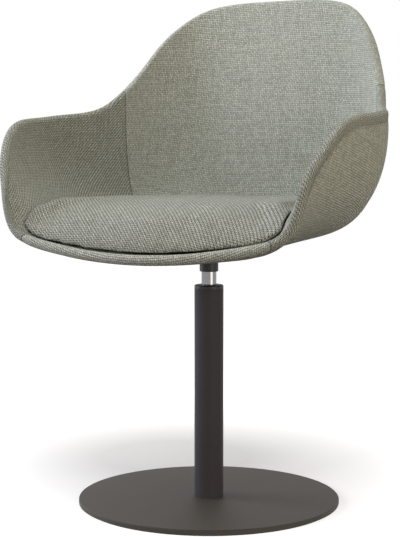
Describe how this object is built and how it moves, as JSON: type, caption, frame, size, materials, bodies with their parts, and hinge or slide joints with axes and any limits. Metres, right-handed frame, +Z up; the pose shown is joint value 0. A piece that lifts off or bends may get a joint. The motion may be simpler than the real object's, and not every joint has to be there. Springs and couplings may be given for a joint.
{
  "type": "pedestal swivel armchair",
  "caption": "Padded tub armchair with a loose seat cushion, turning freely on a slim round column with a flat disc base.",
  "frame": {"origin": "on the column's axis, at the underside of the felt on the floor", "axes": "+Z up along the column, the sitter faces -Y, +X is the sitter's left"},
  "size_m": [0.6142, 0.5277, 0.8473],
  "materials": {
    "felt": "dense felt",
    "disc_coat": "matt fine-texture powder coat, warm dark grey",
    "column_coat": "matt powder coat, anthracite",
    "steel": "plain bright steel",
    "chrome": "polished",
    "brass": "plain",
    "black_plastic": "satin, moulded",
    "strip": "woven fastening strip",
    "shell_wood": "moulded plywood, bare",
    "foam": "open-cell foam",
    "upholstery": "coarse two-tone basket weave, grey green"
  },
  "bodies": {
    "base": {"floor_felt": "felt", "base_disc": "disc_coat", "column_foot_plug": "steel", "column_foot_screws": "steel", "column_tube": "column_coat", "bearing_seat": "steel", "lower_bearing_washer": "steel", "lower_guide_bush": "black_plastic", "column_cap": "black_plastic"},
    "bearing_cage": {"bearing_cage": "brass", "bearing_balls": "chrome"},
    "seat": {"upper_bearing_washer": "steel", "spindle": "chrome", "retaining_ring": "steel", "seat_hub": "black_plastic", "seat_plate": "disc_coat", "seat_bolts": "steel", "insert_nuts": "brass", "shell_core": "shell_wood", "shell_foam": "foam", "inner_back_panel": "upholstery", "inner_arm_panel_left": "upholstery", "inner_arm_panel_right": "upholstery", "front_lip_band": "upholstery", "outer_back_panel": "upholstery", "outer_side_panel_left": "upholstery", "outer_side_panel_right": "upholstery", "underside_panel": "upholstery", "seat_lining": "upholstery", "loop_strips": "strip", "hook_strips": "strip", "seat_cushion": "upholstery"}
  },
  "joints": [
    {"name": "seat_swivel", "type": "hinge", "parent": "base", "child": "seat", "pos_m": [0, 0, 0.3615], "axis": [0, 0, 1], "continuous": true},
    {"name": "cage_turn", "type": "hinge", "parent": "base", "child": "bearing_cage", "pos_m": [0, 0, 0.1765], "axis": [0, 0, 1], "continuous": true}
  ],
  "couplings": [
    {"joint": "cage_turn", "follows": "seat_swivel", "ratio": 0.5}
  ]
}
